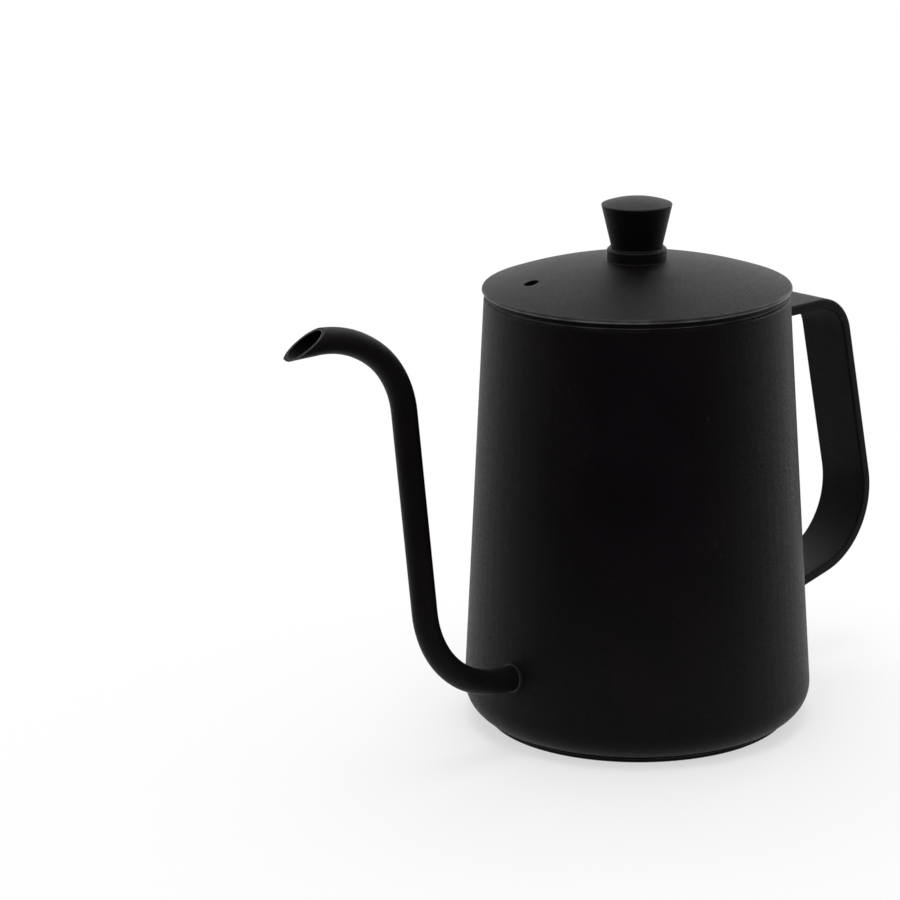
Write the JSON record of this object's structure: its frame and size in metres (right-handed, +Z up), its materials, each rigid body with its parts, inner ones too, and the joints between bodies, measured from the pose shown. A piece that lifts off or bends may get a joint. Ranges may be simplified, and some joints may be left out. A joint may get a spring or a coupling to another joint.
{
  "type": "gooseneck kettle",
  "caption": "Tapered pour-over kettle with a slim gooseneck spout, a flat bent strap handle and a low domed lift-off lid with a conical knob, in satin black.",
  "frame": {"origin": "centre of the foot disc's flat underside, on the body's axis", "axes": "+Z up along the body's axis, +X towards the handle, -X towards the spout"},
  "size_m": [0.2147, 0.0984, 0.1496],
  "materials": {
    "black_coat": "satin black powder coat on stainless steel",
    "bare_steel": "bright fastener steel"
  },
  "bodies": {
    "kettle": {"body_shell": "black_coat", "base_disc": "black_coat", "spout_tube": "black_coat", "spout_collar": "black_coat", "handle_strap": "black_coat"},
    "lid": {"lid_dome": "black_coat", "lid_ring": "black_coat", "knob": "black_coat", "knob_collar": "black_coat", "knob_screw": "bare_steel", "knob_washer": "bare_steel", "knob_lock_washer": "bare_steel"}
  },
  "joints": [
    {"name": "lid_lift", "type": "slide", "parent": "kettle", "child": "lid", "axis": [0, 0, 1], "range_m": [0, 0.06]}
  ]
}
